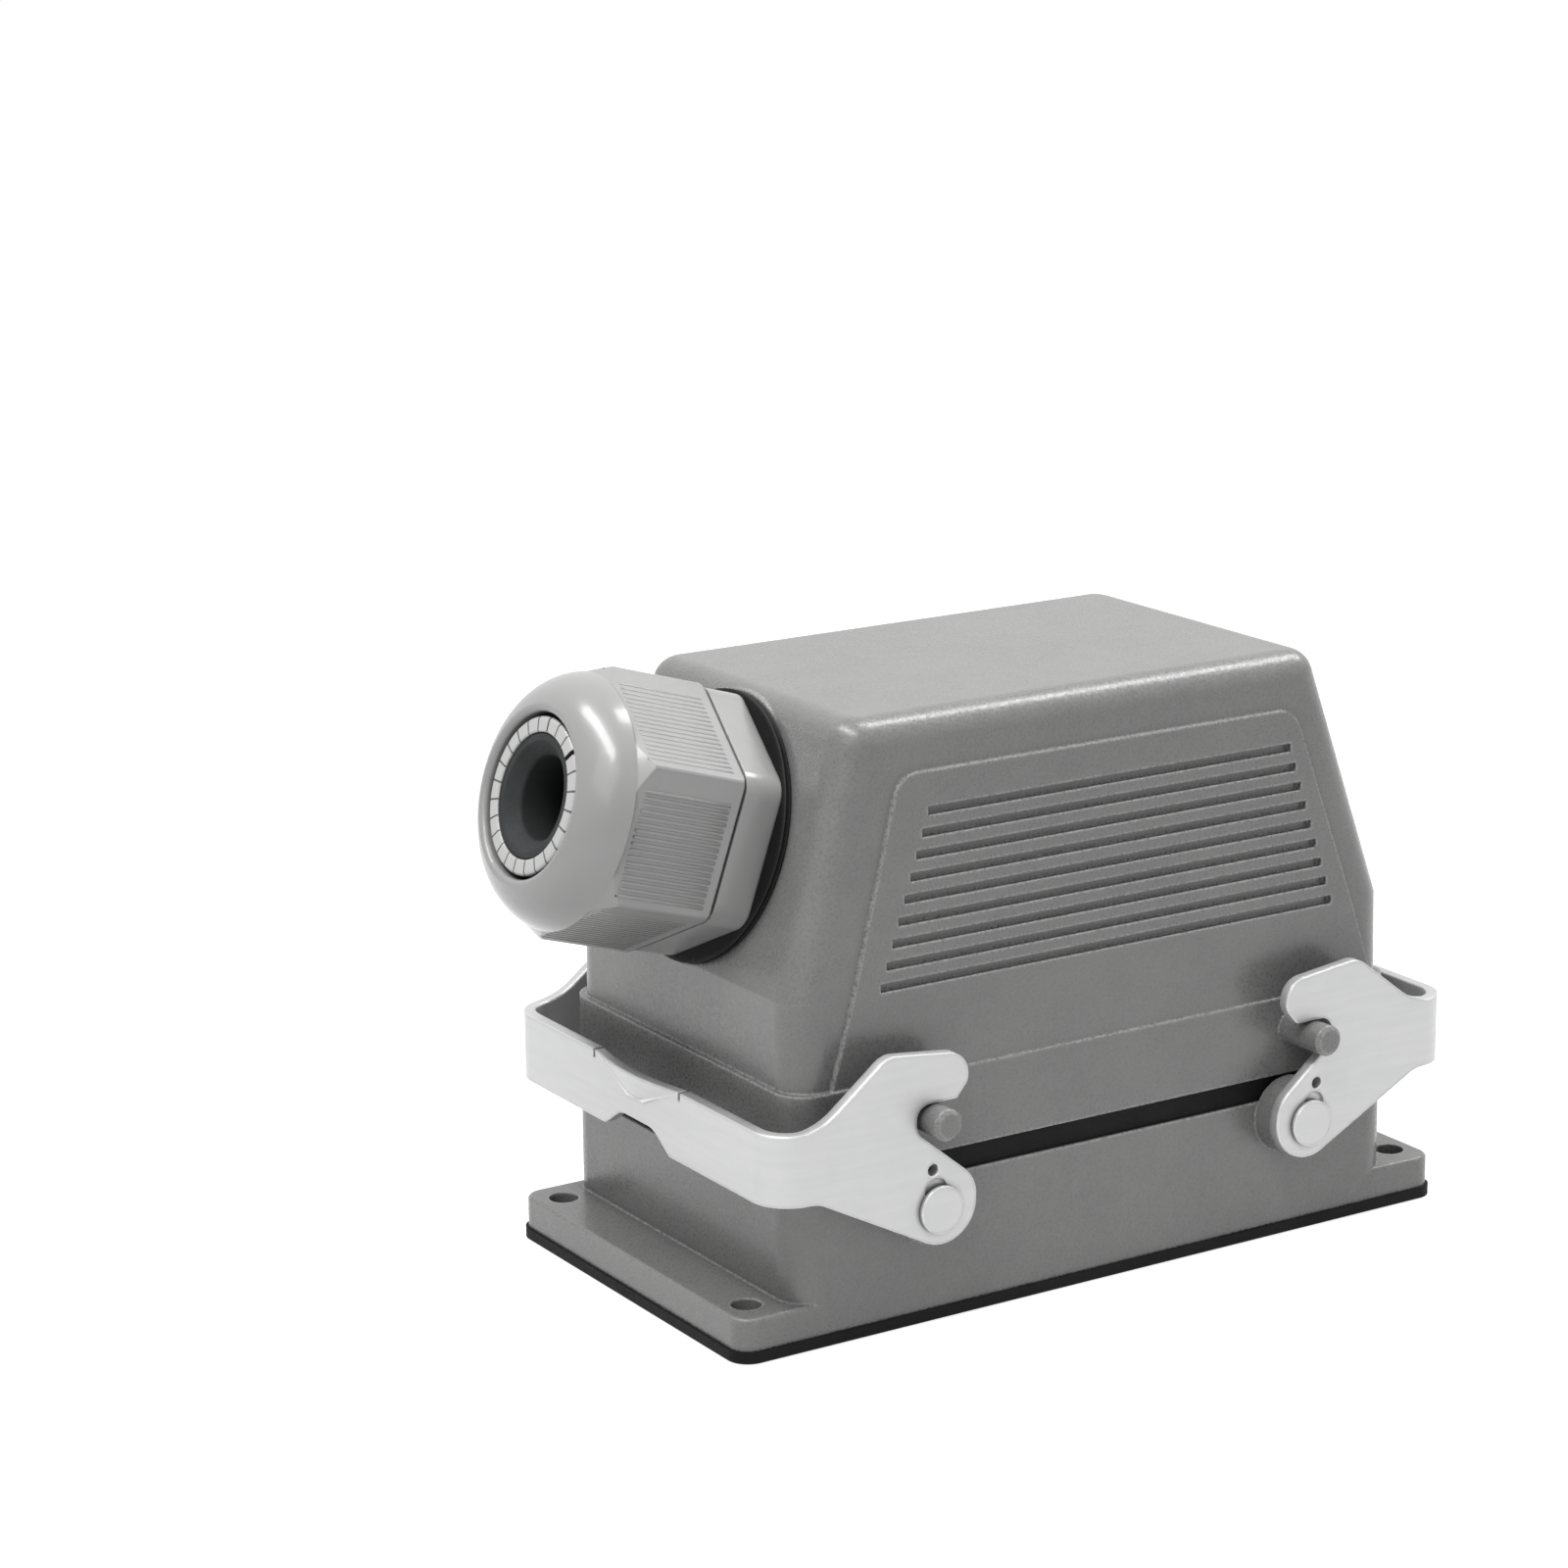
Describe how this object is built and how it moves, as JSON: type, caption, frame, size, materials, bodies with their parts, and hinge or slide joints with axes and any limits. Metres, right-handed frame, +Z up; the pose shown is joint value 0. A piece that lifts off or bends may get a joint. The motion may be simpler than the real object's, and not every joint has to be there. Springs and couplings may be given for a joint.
{
  "type": "heavy duty rectangular connector",
  "caption": "Mated rectangular connector: bulkhead housing with flange and two locking levers, side-entry hood with cable gland, contact inserts inside.",
  "frame": {"origin": "centre of the four mounting holes, on the underside of the flange gasket", "axes": "+X along the length, away from the cable gland; +Y across the width; +Z up, away from the panel"},
  "size_m": [0.1737, 0.0988, 0.1137],
  "materials": {
    "grey_paint": "fine textured powder coat on die-cast aluminium",
    "lever_steel": "satin zinc plated sheet steel",
    "black_rubber": "matt",
    "dark_rubber": "matt",
    "gland_nylon": "smooth moulded nylon",
    "insert_plastic": "moulded glass-filled plastic",
    "contact_brass": "silver plated",
    "screw_steel": "zinc plated"
  },
  "bodies": {
    "base": {"flange_gasket": "black_rubber", "bulkhead_housing": "grey_paint", "housing_seal": "black_rubber", "lever_rivets": "lever_steel", "hood": "grey_paint", "gland_body": "gland_nylon", "gland_washer": "black_rubber", "gland_seal": "dark_rubber", "female_insert_near": "insert_plastic", "female_insert_far": "insert_plastic", "male_insert_near": "insert_plastic", "male_insert_far": "insert_plastic", "socket_contacts_near": "contact_brass", "socket_contacts_far": "contact_brass", "pin_contacts_near": "contact_brass", "pin_contacts_far": "contact_brass", "housing_insert_screws": "screw_steel", "hood_insert_screws": "screw_steel", "housing_earth_contacts": "screw_steel", "hood_earth_contacts": "screw_steel"},
    "left_lever": {"left_locking_lever": "lever_steel"},
    "right_lever": {"right_locking_lever": "lever_steel"},
    "dome_nut": {"gland_dome_nut": "gland_nylon"}
  },
  "joints": [
    {"name": "left_lever_pivot", "type": "hinge", "parent": "base", "child": "left_lever", "pos_m": [-0.0401, 0, 0.0229], "axis": [0, -1, 0], "range_deg": [0, 34]},
    {"name": "right_lever_pivot", "type": "hinge", "parent": "base", "child": "right_lever", "pos_m": [0.0401, 0, 0.0229], "axis": [0, 1, 0], "range_deg": [0, 34]},
    {"name": "dome_nut_turn", "type": "hinge", "parent": "base", "child": "dome_nut", "pos_m": [-0.07623, 0, 0.08844], "axis": [-0.9564, 0, 0.2919], "continuous": true}
  ]
}
